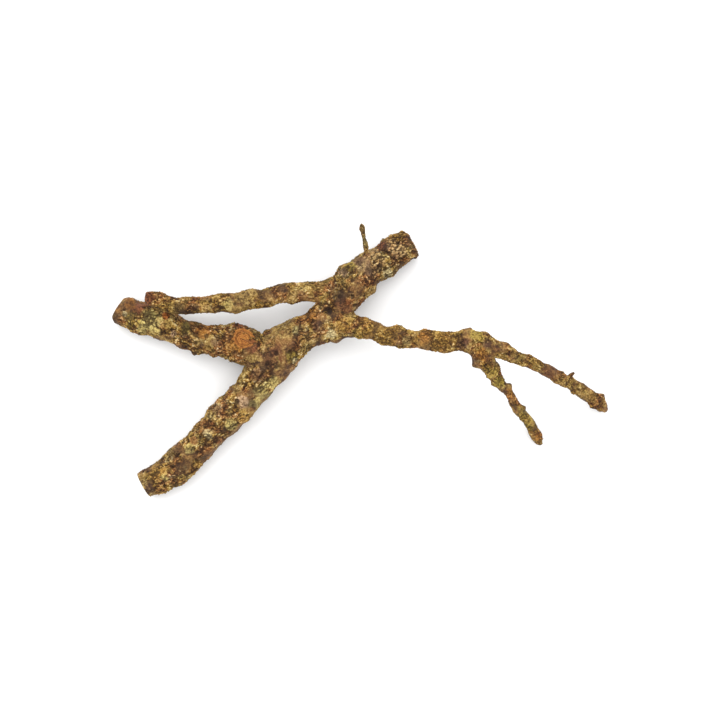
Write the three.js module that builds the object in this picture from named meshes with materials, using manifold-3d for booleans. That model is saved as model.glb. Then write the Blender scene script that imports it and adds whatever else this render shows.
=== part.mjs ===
// A cork branch, cut from its tree and lying on a flat surface. Millimetres, +Z up.
// The origin is on the surface, under the middle of the branch. The thick limb runs from its
// sawn end at lower left (-X, -Y) to its rough end at upper right. A left limb joins it in a Y,
// a thin branch runs back over the left limb, and a branch to the right forks into two twigs.

import * as THREE from 'three';
import { mergeVertices } from 'three/addons/utils/BufferGeometryUtils.js';
import Module from 'manifold-3d';

const wasm = await Module();
wasm.setup();

// Driving dimensions
const PIECE_GAP = 0.3; // left between two pieces that meet at a fork
const RING_STEP = 6.2; // distance between two rings of a limb's surface
const TWIG_RING_STEP = 5.5;
const CUTTER_SIZE = 700; // longer than the whole branch
const SMOOTHED_END = 0.55; // where a broken end's inner ring lies, as a share of its radius
const END_ROUGHNESS = 1.6; // how far a broken end's middle stands out
const FULL_THICKNESS = 42; // the thickness at which the bark has its full relief
const BARK_RELIEF = 1.5; // height of the bark's lumps there
const BARK_WAVES = 9; // waves that add up to the bark's lumps
const SHORTEST_WAVE = 14; // mm from one lump to the next
const WAVE_GROWTH = 1.16; // each wave is this much longer than the one before
const GOLDEN_ANGLE = Math.PI * (3 - Math.sqrt(5));

// Centrelines. Each row is a point and the thickness of the wood there: x, y, z, thickness.
const THICK_LIMB = [
  [-284, -164, 16, 33],
  [-272, -157, 17, 35],
  [-256, -149, 18, 36],
  [-240, -142, 18.7, 39.5],
  [-228, -133, 19.5, 40.5],
  [-213, -119, 21, 40],
  [-188, -92, 24, 41.5],
  [-168, -70, 26, 45],
  [-154, -58, 27.5, 44],
  [-135, -37, 30, 44],
  [-120, -17, 32, 46],
  [-108, 2, 33, 50],
  [-91, 19, 34, 51],
  [-75, 30, 35, 46.5],
  [-60, 39, 35.5, 43.5],
  [-46, 49, 36, 42],
  [-30, 66, 35.5, 41],
  [-17, 84, 34, 43],
  [-4, 101, 31, 44],
  [11, 115, 27, 41],
  [30, 125, 22.5, 40],
  [40, 132, 20, 40],
  [54, 141.5, 18, 38.5],
  [62, 143.5, 17.6, 36],
  [70, 146, 17.6, 33],
];
const LEFT_LIMB = [
  [-106, 6, 33, 38],
  [-122, 11, 33, 40],
  [-134, 16, 32.5, 40],
  [-145, 18, 32, 41],
  [-159, 22, 31, 40.5],
  [-171, 24, 30, 38.5],
  [-188, 25, 28, 36.5],
  [-200, 26, 26, 36],
  [-215, 32, 24, 36.5],
  [-226, 36, 22.5, 35.5],
  [-247, 43.5, 20.5, 39],
  [-265, 50, 19.5, 38.5],
  [-278, 55, 18.3, 39],
  [-291, 59, 17.8, 37],
  [-306, 62, 17.5, 35],
  [-318, 65, 17.5, 34],
];
const SAWN_KNOT = [
  [-147.5, 19.5, 36, 39],
  [-146.5, 22, 46, 37],
  [-145.6, 24.2, 51.5, 33.5],
  [-145, 25.6, 54.3, 30],
];
const UPPER_BRANCH = [
  [-8, 92, 37, 30],
  [-32, 89, 39.5, 26],
  [-52, 86, 41.5, 24.5],
  [-75, 84, 43.5, 25.5],
  [-86, 83, 44, 26.5],
  [-100, 81, 45, 25],
  [-116, 77.5, 46, 23.5],
  [-143, 73.5, 47, 24],
  [-156, 71, 47.5, 24],
  [-176, 70, 48, 23],
  [-191, 68, 48, 21],
  [-220, 67, 48.5, 21.5],
  [-237, 70, 49, 19.5],
  [-252, 75.5, 49.5, 19.5],
  [-261, 78, 50, 18.5],
  [-266, 78.8, 50, 17.2],
];
const RIGHT_BRANCH = [
  [-42, 46, 38, 34],
  [-19, 44, 43, 31],
  [-3, 40, 47, 28],
  [5, 39.5, 50, 26],
  [15, 36.5, 52.5, 23.5],
  [27, 32, 55, 23],
  [36, 30, 57, 24],
  [46, 29, 59, 25.5],
  [56, 27, 61.5, 23.5],
  [70, 25, 65, 23],
  [79, 24, 67.5, 25],
  [95, 23, 71.5, 26],
  [104, 22, 74, 24.5],
  [123, 23, 78.5, 24],
  [136, 24, 81, 24],
];
const LONG_TWIG = [
  [128, 24, 79, 22],
  [144, 24, 82, 24],
  [154, 20.5, 83, 22.5],
  [166, 14.5, 83, 19.5],
  [179, 9.5, 81, 18.5],
  [192, 4, 77, 16.5],
  [208, -2, 70, 16.5],
  [219, -7.5, 64.5, 15],
  [235, -15.5, 56.5, 14.5],
  [245, -21, 50.5, 15],
  [261, -29, 41.5, 15],
  [276, -38, 32, 17],
  [287, -46, 25, 16.5],
  [297, -52, 18.5, 18],
  [305, -58, 13, 16],
  [309, -62, 10, 11],
];
const TWIG_SPURLET = [
  [258, -25, 43, 8],
  [261.5, -19, 43.5, 5],
  [267, -14.5, 44.5, 3.4],
];
const SHORT_TWIG = [
  [139, 24, 79, 22],
  [147, 12, 80, 26],
  [152, 2, 78, 26],
  [157, -6, 75, 22],
  [162, -12, 72, 18.5],
  [168, -22, 67, 15.5],
  [176, -32, 61, 14],
  [183, -38, 56.5, 13.5],
  [189, -49, 49.5, 12],
  [194, -59, 43, 12],
  [202, -68, 34.5, 13],
  [215, -81, 22, 13.5],
  [220.5, -93, 11, 15],
  [224.5, -101.5, 5, 12.5],
  [228, -106, 3, 7],
];
const SPUR = [
  [12, 117, 30, 12],
  [9, 128, 36, 9.5],
  [7.5, 138, 42, 7],
  [5.5, 149, 49, 5.6],
  [4, 157, 53.5, 5.8],
  [2.5, 162.5, 56, 8],
  [2, 166, 58, 7],
  [1.5, 168, 59, 4],
];

// Lumps, ledges and pits on the outline and the upper side: x, y, z, height, reach.
const LIMB_LUMPS = [
  [-242, -119, 20, 2, 9],
  [-210, -146, 20, 1.2, 10],
  [-148, -22, 31, 2.4, 8],
  [-85, -3, 34, 2.6, 14],
  [-33, 31, 36, 7, 8],
  [-117, 36, 35, 6, 9],
  [-84, 50, 50, 2, 9],
  [-25, 114, 34, 5.5, 10],
  [15, 89, 31, 5.5, 9],
  [26, 99, 28, 3.4, 8],
  [42, 108, 25, 2.6, 8],
  [28, 146, 24, 2.6, 9],
  [-7, 127, 32, -1.5, 9],
  [10, 118, 46, 2.2, 9],
  [-38, 62, 55, -5, 8],
  [32, 137, 39, -4, 7],
  [17, 122, 47, -3, 6],
  [50, 144, 37, -3, 7],
  [6, 76, 33, 2.5, 7],
  [-6, 60, 38, 2, 6],
  [-252, -168, 17, 2.2, 9],
  [-180, -115, 26, 1.5, 10],
  [-172, -46, 28, 1.8, 10],
  [-90, -16, 34, 1.2, 14],
  [-196, -66, 26, -1.5, 8],
];
const LEFT_LIMB_LUMPS = [
  [-208, 8, 25, 5, 8],
  [-183, 2, 28, 9, 7],
  [-155, 44, 33, 3.4, 10],
  [-262, 48, 39, 1.8, 10],
  [-226, 38, 41, -2.5, 8],
  [-125, 33, 45, -3.5, 6],
  [-157, 1, 31, 2, 8],
];
const UPPER_BRANCH_LUMPS = [
  [-86, 98, 45, 1.2, 9],
  [-156, 62, 52, 1.4, 7],
  [-205, 60, 50, -1.8, 6],
];
const RIGHT_BRANCH_LUMPS = [
  [-29, 28, 40, 7, 8],
  [45, 43, 59, 2.2, 7],
  [79, 38, 67, 1.6, 6],
  [141, 38, 80, 5, 8],
  [97, 10, 72, 0.8, 7],
  [48, 15, 60, 1.8, 6],
];
const LONG_TWIG_LUMPS = [
  [172, 2, 78, 1.6, 6],
  [179, 21, 81, 2.6, 6],
  [250, -14, 46, 1.6, 5],
  [265, -40, 38, 2.2, 5],
  [290, -59, 21, 2.4, 6],
  [305, -47, 15, 1.8, 5],
];
const SHORT_TWIG_LUMPS = [
  [141, -7, 75, 3.2, 7],
  [156, -19, 68, 1.8, 5],
  [163, -30, 62, 1.8, 5],
  [187, -29, 59, 3.2, 5],
  [204, -60, 41, 1.8, 5],
];

// Where one piece ends and the next begins: a point on the joint and the way out of the trunk.
const LOWER_JOINT = { at: [-131, -25, 30], out: [-0.66, -0.75, 0] };
const LEFT_JOINT = { at: [-133.8, 14, 32], out: [-0.95, 0.31, 0] };
const UPPER_JOINT = { at: [-65, 86, 43], out: [-1, 0.08, 0] };
const RIGHT_JOINT = { at: [-1, 40, 48], out: [0.94, -0.16, 0.3] };
const LONG_TWIG_JOINT = { at: [180, 9, 81], out: [0.9, -0.36, -0.24] };
const SHORT_TWIG_JOINT = { at: [159.5, -9, 73.5], out: [0.5, -0.8, -0.33] };
const SPUR_JOINT = { at: [7.8, 136, 40.5], out: [-0.13, 0.85, 0.5] };

// Sawn and broken ends that were cut across: a point on the cut and the way off the branch.
const LOWER_CUT = { at: [-272, -156.5, 17], out: [-0.88, -0.48, 0] };
const LEFT_CUT = { at: [-305.5, 62.5, 18], out: [-0.85, 0.52, 0] };
const LEFT_CORNER_CUT = { at: [-308.5, 48, 18], out: [-0.9, -0.43, 0] };
const TOP_CUT = { at: [66.6, 145.8, 18], out: [0.9, 0.434, 0] };

const bark = new THREE.MeshStandardMaterial({ name: 'bark', color: '#86693f', roughness: 0.92, metalness: 0 });
const twigBark = new THREE.MeshStandardMaterial({ name: 'twig_bark', color: '#7d6238', roughness: 0.9, metalness: 0 });

// The bark's lumps at a point: sine waves of many lengths that run in directions spread
// evenly over a sphere, added up. The sum lies between about -1 and 1.
function lumpiness(point) {
  let sum = 0;
  for (let k = 0; k < BARK_WAVES; k += 1) {
    const height = 1 - (2 * (k + 0.5)) / BARK_WAVES;
    const width = Math.sqrt(1 - height * height);
    const turn = GOLDEN_ANGLE * k;
    const wave = SHORTEST_WAVE * WAVE_GROWTH ** k;
    const way = point.x * width * Math.cos(turn) + point.y * width * Math.sin(turn) + point.z * height;
    sum += Math.sin((2 * Math.PI * way) / wave + k * k);
  }
  return sum / Math.sqrt(BARK_WAVES);
}

// How far the lumps and pits of a list push the surface out at a point.
function lumpHeight(point, lumps) {
  let sum = 0;
  for (const [x, y, z, height, reach] of lumps) {
    const away = Math.hypot(point.x - x, point.y - y, point.z - z) / reach;
    sum += height * Math.exp(-away * away);
  }
  return sum;
}

// The rings of a limb: places along its centreline with the thickness there. The curve passes
// through every point of the centreline, and a second curve carries the thickness along with it.
function ringPlaces(centreline, step) {
  const route = new THREE.CatmullRomCurve3(
    centreline.map(([x, y, z]) => new THREE.Vector3(x, y, z)), false, 'catmullrom', 0.5);
  const widths = new THREE.CatmullRomCurve3(
    centreline.map(([, , , thickness]) => new THREE.Vector3(thickness, 0, 0)), false, 'catmullrom', 0.5);
  const stretches = centreline.length - 1;
  const places = [];
  for (let k = 0; k < stretches; k += 1) {
    const start = route.points[k];
    const count = Math.max(1, Math.round(start.distanceTo(route.points[k + 1]) / step));
    for (let j = 0; j < count; j += 1) {
      const t = (k + j / count) / stretches;
      places.push({ at: route.getPoint(t), along: route.getTangent(t), thickness: widths.getPoint(t).x });
    }
  }
  const end = { at: route.getPoint(1), along: route.getTangent(1), thickness: widths.getPoint(1).x };
  places.push(end);
  return places;
}

// One ring: points round the centreline, moved out or in by the bark's relief and the lumps.
function ringPoints(place, sides, lumps, scale = 1) {
  const level = new THREE.Vector3(0, 0, 1);
  const across = new THREE.Vector3().crossVectors(place.along, level).normalize();
  const up = new THREE.Vector3().crossVectors(across, place.along).normalize();
  const relief = BARK_RELIEF * Math.min(1, Math.sqrt(place.thickness / FULL_THICKNESS));
  const points = [];
  for (let side = 0; side < sides; side += 1) {
    const angle = (2 * Math.PI * side) / sides;
    const outward = across.clone().multiplyScalar(Math.cos(angle)).addScaledVector(up, Math.sin(angle));
    const skin = place.at.clone().addScaledVector(outward, place.thickness / 2);
    const push = relief * lumpiness(skin) + lumpHeight(skin, lumps);
    points.push(place.at.clone().addScaledVector(outward, (place.thickness / 2 + push) * scale));
  }
  return points;
}

// A limb as a closed mesh: rings joined by two triangles a side, and at each end a smaller ring
// and a middle point, so that a broken end stands out a little.
function limbGeometry(centreline, sides, lumps, step) {
  const places = ringPlaces(centreline, step);
  const rings = places.map((place) => ringPoints(place, sides, lumps));
  const first = places[0];
  const last = places[places.length - 1];
  const lastInner = ringPoints(last, sides, lumps, SMOOTHED_END);
  const out = last.along.clone().multiplyScalar(END_ROUGHNESS);
  lastInner.forEach((point) => point.add(out));
  rings.push(lastInner);
  const positions = rings.flat().flatMap((point) => point.toArray());
  positions.push(...first.at.toArray(), ...last.at.clone().add(out).toArray());
  const startPoint = rings.length * sides;
  const endPoint = startPoint + 1;
  const indices = [];
  for (let side = 0; side < sides; side += 1) {
    const next = (side + 1) % sides;
    for (let ring = 0; ring < rings.length - 1; ring += 1) {
      const a = ring * sides + side;
      const b = ring * sides + next;
      indices.push(a, a + sides, b, b, a + sides, b + sides);
    }
    const lastRing = (rings.length - 1) * sides;
    indices.push(startPoint, side, next);
    indices.push(endPoint, lastRing + next, lastRing + side);
  }
  const geometry = new THREE.BufferGeometry();
  geometry.setAttribute('position', new THREE.Float32BufferAttribute(positions, 3));
  geometry.setIndex(indices);
  return geometry;
}

// A three.js geometry as a solid that can be joined and cut.
function solidFrom(geometry) {
  const bare = geometry.clone();
  bare.deleteAttribute('normal');
  bare.deleteAttribute('uv');
  const merged = mergeVertices(bare);
  const mesh = new wasm.Mesh({
    numProp: 3,
    vertProperties: new Float32Array(merged.attributes.position.array),
    triVerts: new Uint32Array(merged.index.array),
  });
  return new wasm.Manifold(mesh);
}

// A joined or cut solid as a three.js geometry.
function geometryFrom(solid) {
  const mesh = solid.getMesh();
  const geometry = new THREE.BufferGeometry();
  geometry.setAttribute('position', new THREE.Float32BufferAttribute(mesh.vertProperties, 3));
  geometry.setIndex(Array.from(mesh.triVerts));
  geometry.computeVertexNormals();
  return geometry;
}

// The half of space on the outward side of a joint or cut, set off by half the gap.
function halfSpace({ at, out }, side, gap) {
  const direction = new THREE.Vector3(...out).normalize().multiplyScalar(side);
  const turn = new THREE.Quaternion().setFromUnitVectors(new THREE.Vector3(0, 0, 1), direction);
  const middle = new THREE.Vector3(...at).addScaledVector(direction, CUTTER_SIZE / 2 + gap / 2);
  const box = new THREE.BoxGeometry(CUTTER_SIZE, CUTTER_SIZE, CUTTER_SIZE);
  box.applyMatrix4(new THREE.Matrix4().compose(middle, turn, new THREE.Vector3(1, 1, 1)));
  return solidFrom(box);
}

const outside = (joint) => halfSpace(joint, 1, PIECE_GAP);
const inside = (joint) => halfSpace(joint, -1, PIECE_GAP);
const cutOff = (cut) => halfSpace(cut, 1, 0);
const underSurface = cutOff({ at: [0, 0, 0], out: [0, 0, -1] });

// Whole limbs, before they are parted at the forks
const thickLimb = solidFrom(limbGeometry(THICK_LIMB, 20, LIMB_LUMPS, RING_STEP))
  .subtract(cutOff(LOWER_CUT))
  .subtract(cutOff(TOP_CUT));
const leftLimb = solidFrom(limbGeometry(LEFT_LIMB, 18, LEFT_LIMB_LUMPS, RING_STEP))
  .subtract(cutOff(LEFT_CUT))
  .subtract(cutOff(LEFT_CORNER_CUT))
  .add(solidFrom(limbGeometry(SAWN_KNOT, 16, [], RING_STEP)));
const upperBranch = solidFrom(limbGeometry(UPPER_BRANCH, 14, UPPER_BRANCH_LUMPS, RING_STEP));
const rightBranch = solidFrom(limbGeometry(RIGHT_BRANCH, 13, RIGHT_BRANCH_LUMPS, RING_STEP));
const longTwig = solidFrom(limbGeometry(LONG_TWIG, 11, LONG_TWIG_LUMPS, TWIG_RING_STEP));
const spurlet = solidFrom(limbGeometry(TWIG_SPURLET, 7, [], TWIG_RING_STEP));
const shortTwig = solidFrom(limbGeometry(SHORT_TWIG, 11, SHORT_TWIG_LUMPS, TWIG_RING_STEP));
const spur = solidFrom(limbGeometry(SPUR, 9, [], TWIG_RING_STEP));

// The trunk keeps the root of each limb, as a collar that ends at the joint
const trunk = thickLimb
  .intersect(inside(LOWER_JOINT))
  .add(leftLimb.intersect(inside(LEFT_JOINT)))
  .add(upperBranch.intersect(inside(UPPER_JOINT)))
  .add(rightBranch.intersect(inside(RIGHT_JOINT)))
  .add(spur.intersect(inside(SPUR_JOINT)));

// The right branch keeps the roots of its two twigs in the same way
const forkedBranch = rightBranch
  .intersect(outside(RIGHT_JOINT))
  .add(longTwig.intersect(inside(LONG_TWIG_JOINT)))
  .add(shortTwig.intersect(inside(SHORT_TWIG_JOINT)));

const pieces = [
  ['stem', trunk, bark],
  ['lower_limb', thickLimb.intersect(outside(LOWER_JOINT)), bark],
  ['left_limb', leftLimb.intersect(outside(LEFT_JOINT)), bark],
  ['upper_branch', upperBranch.intersect(outside(UPPER_JOINT)), bark],
  ['right_branch', forkedBranch, bark],
  ['long_twig', longTwig.intersect(outside(LONG_TWIG_JOINT)).add(spurlet), twigBark],
  ['short_twig', shortTwig.intersect(outside(SHORT_TWIG_JOINT)), twigBark],
  ['spur', spur.intersect(outside(SPUR_JOINT)), twigBark],
];

const branch = new THREE.Group();
branch.name = 'cork_branch';
for (const [name, solid, material] of pieces) {
  // Where the branch rests on the surface, its bark is worn flat.
  const piece = new THREE.Mesh(geometryFrom(solid.subtract(underSurface)), material);
  piece.name = name;
  branch.add(piece);
}

export default branch;
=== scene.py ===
"""A cork branch grown over with lichen, lying on a pale floor and seen from straight above."""
import bpy
import numpy as np
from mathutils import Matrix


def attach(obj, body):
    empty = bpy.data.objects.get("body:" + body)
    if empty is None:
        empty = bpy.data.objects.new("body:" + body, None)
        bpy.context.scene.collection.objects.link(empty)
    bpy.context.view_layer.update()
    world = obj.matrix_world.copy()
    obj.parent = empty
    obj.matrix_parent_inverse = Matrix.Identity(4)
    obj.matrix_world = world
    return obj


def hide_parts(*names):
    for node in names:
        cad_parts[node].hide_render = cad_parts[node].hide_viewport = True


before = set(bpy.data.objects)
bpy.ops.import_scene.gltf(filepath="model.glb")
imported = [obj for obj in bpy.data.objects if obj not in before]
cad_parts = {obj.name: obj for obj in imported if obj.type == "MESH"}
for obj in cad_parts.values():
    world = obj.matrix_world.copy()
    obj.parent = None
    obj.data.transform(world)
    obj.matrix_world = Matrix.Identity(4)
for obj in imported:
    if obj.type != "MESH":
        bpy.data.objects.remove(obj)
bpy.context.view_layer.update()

MM = 0.001

# Camera, straight above, and the width that its picture takes in at the branch's middle height
CAMERA_HEIGHT = 2.53
CAMERA_DISTANCE = 2.5
VIEW_WIDTH = 0.9
SENSOR_WIDTH = 36.0
LAMP_STRENGTH = 1.3
LAMP_SPREAD = 60  # degrees
LAMP_TILT = (-35, -8)  # degrees about X and about Y
SURROUND_STRENGTH = 1.35
HORIZON_STRENGTH = 1.3
FLOOR_WHITE = 0.92
FLOOR_RADIUS = 30.0

# The branch's route through space, in millimetres. Each row is a point on a limb's centreline
# and the limb's thickness there: x, y, z, thickness.
THICK_LIMB = [
    [-284, -164, 16, 33], [-272, -157, 17, 35], [-256, -149, 18, 36], [-240, -142, 18.7, 39.5],
    [-228, -133, 19.5, 40.5], [-213, -119, 21, 40], [-188, -92, 24, 41.5], [-168, -70, 26, 45],
    [-154, -58, 27.5, 44], [-135, -37, 30, 44], [-120, -17, 32, 46], [-108, 2, 33, 50],
    [-91, 19, 34, 51], [-75, 30, 35, 46.5], [-60, 39, 35.5, 43.5], [-46, 49, 36, 42],
    [-30, 66, 35.5, 41], [-17, 84, 34, 43], [-4, 101, 31, 44], [11, 115, 27, 41],
    [30, 125, 22.5, 40], [40, 132, 20, 40], [54, 141.5, 18, 38.5], [62, 143.5, 17.6, 36],
    [70, 146, 17.6, 33],
]
LEFT_LIMB = [
    [-106, 6, 33, 38], [-122, 11, 33, 40], [-134, 16, 32.5, 40], [-145, 18, 32, 41],
    [-159, 22, 31, 40.5], [-171, 24, 30, 38.5], [-188, 25, 28, 36.5], [-200, 26, 26, 36],
    [-215, 32, 24, 36.5], [-226, 36, 22.5, 35.5], [-247, 43.5, 20.5, 39], [-265, 50, 19.5, 38.5],
    [-278, 55, 18.3, 39], [-291, 59, 17.8, 37], [-306, 62, 17.5, 35], [-318, 65, 17.5, 34],
]
SAWN_KNOT = [
    [-147.5, 19.5, 36, 39], [-146.5, 22, 46, 37], [-145.6, 24.2, 51.5, 33.5], [-145, 25.6, 54.3, 30],
]
UPPER_BRANCH = [
    [-8, 92, 37, 30], [-32, 89, 39.5, 26], [-52, 86, 41.5, 24.5], [-75, 84, 43.5, 25.5],
    [-86, 83, 44, 26.5], [-100, 81, 45, 25], [-116, 77.5, 46, 23.5], [-143, 73.5, 47, 24],
    [-156, 71, 47.5, 24], [-176, 70, 48, 23], [-191, 68, 48, 21], [-220, 67, 48.5, 21.5],
    [-237, 70, 49, 19.5], [-252, 75.5, 49.5, 19.5], [-261, 78, 50, 18.5], [-266, 78.8, 50, 17.2],
]
RIGHT_BRANCH = [
    [-42, 46, 38, 34], [-19, 44, 43, 31], [-3, 40, 47, 28], [5, 39.5, 50, 26],
    [15, 36.5, 52.5, 23.5], [27, 32, 55, 23], [36, 30, 57, 24], [46, 29, 59, 25.5],
    [56, 27, 61.5, 23.5], [70, 25, 65, 23], [79, 24, 67.5, 25], [95, 23, 71.5, 26],
    [104, 22, 74, 24.5], [123, 23, 78.5, 24], [136, 24, 81, 24],
]
LONG_TWIG = [
    [128, 24, 79, 22], [144, 24, 82, 24], [154, 20.5, 83, 22.5], [166, 14.5, 83, 19.5],
    [179, 9.5, 81, 18.5], [192, 4, 77, 16.5], [208, -2, 70, 16.5], [219, -7.5, 64.5, 15],
    [235, -15.5, 56.5, 14.5], [245, -21, 50.5, 15], [261, -29, 41.5, 15], [276, -38, 32, 17],
    [287, -46, 25, 16.5], [297, -52, 18.5, 18], [305, -58, 13, 16], [309, -62, 10, 11],
]
TWIG_SPURLET = [[258, -25, 43, 7], [261.5, -19.5, 43.5, 5.6], [266, -16, 44.5, 5.2]]
SHORT_TWIG = [
    [139, 24, 79, 22], [147, 12, 80, 26], [152, 2, 78, 26], [157, -6, 75, 22],
    [162, -12, 72, 18.5], [168, -22, 67, 15.5], [176, -32, 61, 14], [183, -38, 56.5, 13.5],
    [189, -49, 49.5, 12], [194, -59, 43, 12], [202, -68, 34.5, 13], [215, -81, 22, 13.5],
    [220.5, -93, 11, 15], [224.5, -101.5, 5, 12.5], [228, -106, 3, 7],
]
SPUR = [
    [12, 117, 30, 12], [9, 128, 36, 9.5], [7.5, 138, 42, 7], [5.5, 149, 49, 5.6],
    [4, 157, 53.5, 5.8], [2.5, 162.5, 56, 8], [2, 166, 58, 7], [1.5, 168, 59, 4],
]

# Lumps, ledges and pits, in millimetres: x, y, z, height, reach
LIMB_LUMPS = [
    [-242, -119, 20, 2, 9], [-210, -146, 20, 1.2, 10], [-148, -22, 31, 2.4, 8],
    [-85, -3, 34, 2.6, 14], [-33, 31, 36, 7, 8], [-117, 36, 35, 6, 9], [-84, 50, 50, 2, 9],
    [-25, 114, 34, 5.5, 10], [15, 89, 31, 5.5, 9], [26, 99, 28, 3.4, 8], [42, 108, 25, 2.6, 8],
    [28, 146, 24, 2.6, 9], [-7, 127, 32, -1.5, 9], [10, 118, 46, 2.2, 9], [-38, 62, 55, -5, 8],
    [32, 137, 39, -4, 7], [17, 122, 47, -3, 6], [50, 144, 37, -3, 7],
    [6, 76, 33, 2.5, 7], [-6, 60, 38, 2, 6], [-252, -168, 17, 2.2, 9], [-180, -115, 26, 1.5, 10],
    [-172, -46, 28, 1.8, 10], [-90, -16, 34, 1.2, 14], [-196, -66, 26, -1.5, 8],
]
LEFT_LIMB_LUMPS = [
    [-208, 8, 25, 6, 6], [-183, 2, 28, 9, 6], [-155, 44, 33, 3.4, 10], [-262, 48, 39, 1.8, 10],
    [-226, 38, 41, -2.5, 8], [-125, 33, 45, -3.5, 6], [-157, 1, 31, 2, 8],
]
UPPER_BRANCH_LUMPS = [
    [-86, 98, 45, 1.2, 9], [-156, 62, 52, 1.4, 7], [-205, 60, 50, -1.8, 6], [-250, 66, 47, 2, 5],
]
RIGHT_BRANCH_LUMPS = [
    [-29, 28, 40, 7, 8], [45, 43, 59, 2.2, 7], [79, 38, 67, 1.6, 6], [141, 38, 80, 5, 8],
    [97, 10, 72, 0.8, 7], [48, 15, 60, 1.8, 6],
]
LONG_TWIG_LUMPS = [
    [172, 2, 78, 1.6, 6], [179, 21, 81, 2.6, 6], [252, -13, 46, 3, 3.5], [265, -40, 38, 2.6, 4],
    [290, -59, 21, 2.8, 4], [304, -46, 16, 3, 3.5],
]
SHORT_TWIG_LUMPS = [
    [141, -7, 75, 4, 5], [156, -19, 68, 1.8, 5], [163, -30, 62, 3.2, 3.5], [187, -29, 59, 3.6, 4],
    [204, -60, 41, 3, 3.5],
]
NO_LUMPS = []

# Cut ends: a point on the cut, in millimetres, and the way off the branch
LOWER_CUT = ([-272, -156.5, 17], [-0.88, -0.48, 0])
TOP_CUT = ([66.6, 145.8, 18], [0.9, 0.434, 0])
LEFT_CUT = ([-305.5, 62.5, 18], [-0.85, 0.52, 0])
LEFT_CORNER_CUT = ([-308.5, 48, 18], [-0.9, -0.43, 0])

# Where one piece ends and the next begins: a point near the joint, in millimetres
LOWER_JOINT = [-131, -25, 30]
LEFT_JOINT = [-133.8, 14, 32]
UPPER_JOINT = [-65, 86, 43]
RIGHT_JOINT = [-1, 40, 48]
LONG_TWIG_JOINT = [180, 9, 81]
SHORT_TWIG_JOINT = [159.5, -9, 73.5]
SPUR_JOINT = [7.8, 136, 40.5]

# Bark
FULL_THICKNESS = 42 * MM
BARK_RELIEF = 1.5 * MM
BARK_WAVES = 9
SHORTEST_WAVE = 14 * MM
WAVE_GROWTH = 1.16
GOLDEN_ANGLE = np.pi * (3 - np.sqrt(5))
PLATE_STRETCH = 2.0  # the bark's plates are this much longer than wide
# Forms on a thick limb's bark, in millimetres: how wide they are, and how high or deep
COVER_SIZE, LICHEN_SIZE, WARP_SIZE = 24, 17, 3.6
KNOB_SIZE, KNOB_HEIGHT = 11, 0.45
PLATE_SIZE, CRACK_DEPTH = 6.5, 1.05
CRUMB_SIZE, CRUMB_HEIGHT = 2.7, 0.95
LOBE_SIZE, LOBE_HEIGHT = 4.2, 0.9
PIT_SPACING, PIT_DEPTH = 13, 2.2
GRIT_SIZE, GRIT_HEIGHT = 1.6, 0.16
CHIP_SIZE, CHIP_HEIGHT = 5.5, 1.5
MIDDLE_HEIGHT = 0.55  # of all the forms together, taken off again
YOUNG_DARKNESS = 0.65  # how much darker a very thin twig's tone is

# Limbs and their ends
ROUTE_SAMPLES = 200  # for each row of a route, when its length is measured
BALL_SPACING = 3 * MM  # spacing of the balls that stand for a limb when distances to it are taken
FAR_AWAY = 40 * MM  # farther distances to a limb aren't worked out
BURIED_DEPTH = 3 * MM  # rings deeper than this inside another limb are left out
JOIN_REACH = 0.8  # share of a joining limb's radius over which two skins run together
CUT_BLEND = 22 * MM  # the rings lean over to a slanting cut along this length
FACE_STEP = 0.9 * MM  # from one ring of an end face to the next
ROUNDED_END = 0.4  # how far a rounded tip stands out, as a share of its radius
LOWEST = 0.05 * MM  # what rests on the floor is worn flat just above it
KNOT_GROOVE = 0.62  # where the groove round the knot's wood lies, as a share of the way to its rim
KNOT_RIM = 0.85  # how far the bare orange wood goes, as such a share
RING_SPACING = 1.7 * MM  # between growth rings on the sawn ends
KNOT_RING_SPACING = 2.4 * MM
CRACKS = [(0.4, 0.8), (1.9, 0.6), (3.3, 0.9), (4.1, 0.5), (5.4, 0.75)]  # angle and length of each
PITH_SLIT = np.array([0.92, -0.39, 0])
CORNER_ROUNDING = 1.8 * MM  # where two cuts meet
END_WEAR = 1.6 * MM  # how much thinner a limb is at the rim of a worn end
WORN_LENGTH = 4 * MM
CHIPPED_LENGTH = 85 * MM  # how far the bark is chipped from the thick limb's broken end

# Lichen flakes, marks and dirt
FLAKE_AREA = 48 * MM * MM  # one lichen flake for so much skin
FLAKE_CORNERS = 8
FLAKE_RADIUS = (1.1, 2.6)  # millimetres, on a thick limb
BARE_CHANCE = 0.12  # a flake's chance on bare bark, beside 1 on full lichen
UNBROKEN_ROOT = 30  # rings without flakes at the root of a branch
FRAY_SIZE = 6 * MM  # of the noise at the edges of the marks
FRAY_SEED = 900
UNDERSIDE_SHADE = (0.35, -0.3)  # upward part of the way out where the painted shade on the underside starts and where it is full

# Numbers of a piece's materials after its bark, which is 0
SAWN_WOOD = 1
KNOT_WOOD = 2


def lattice_random(cell, seed):
    """A repeatable number from 0 to 1 for each cube of a lattice: the cube's three whole numbers
    are multiplied by large odd numbers, joined and stirred as 32-bit integers."""
    cube = cell.astype(np.uint32)
    mixed = cube[:, 0] * np.uint32(0x8DA6B343)
    mixed ^= cube[:, 1] * np.uint32(0xD8163841)
    mixed ^= cube[:, 2] * np.uint32(0xCB1AB31F)
    mixed ^= np.uint32(seed * 2654435 + 97)
    mixed ^= mixed >> np.uint32(16)
    mixed *= np.uint32(0x7FEB352D)
    mixed ^= mixed >> np.uint32(15)
    mixed *= np.uint32(0x846CA68B)
    mixed ^= mixed >> np.uint32(16)
    return mixed / 2.0**32


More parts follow.
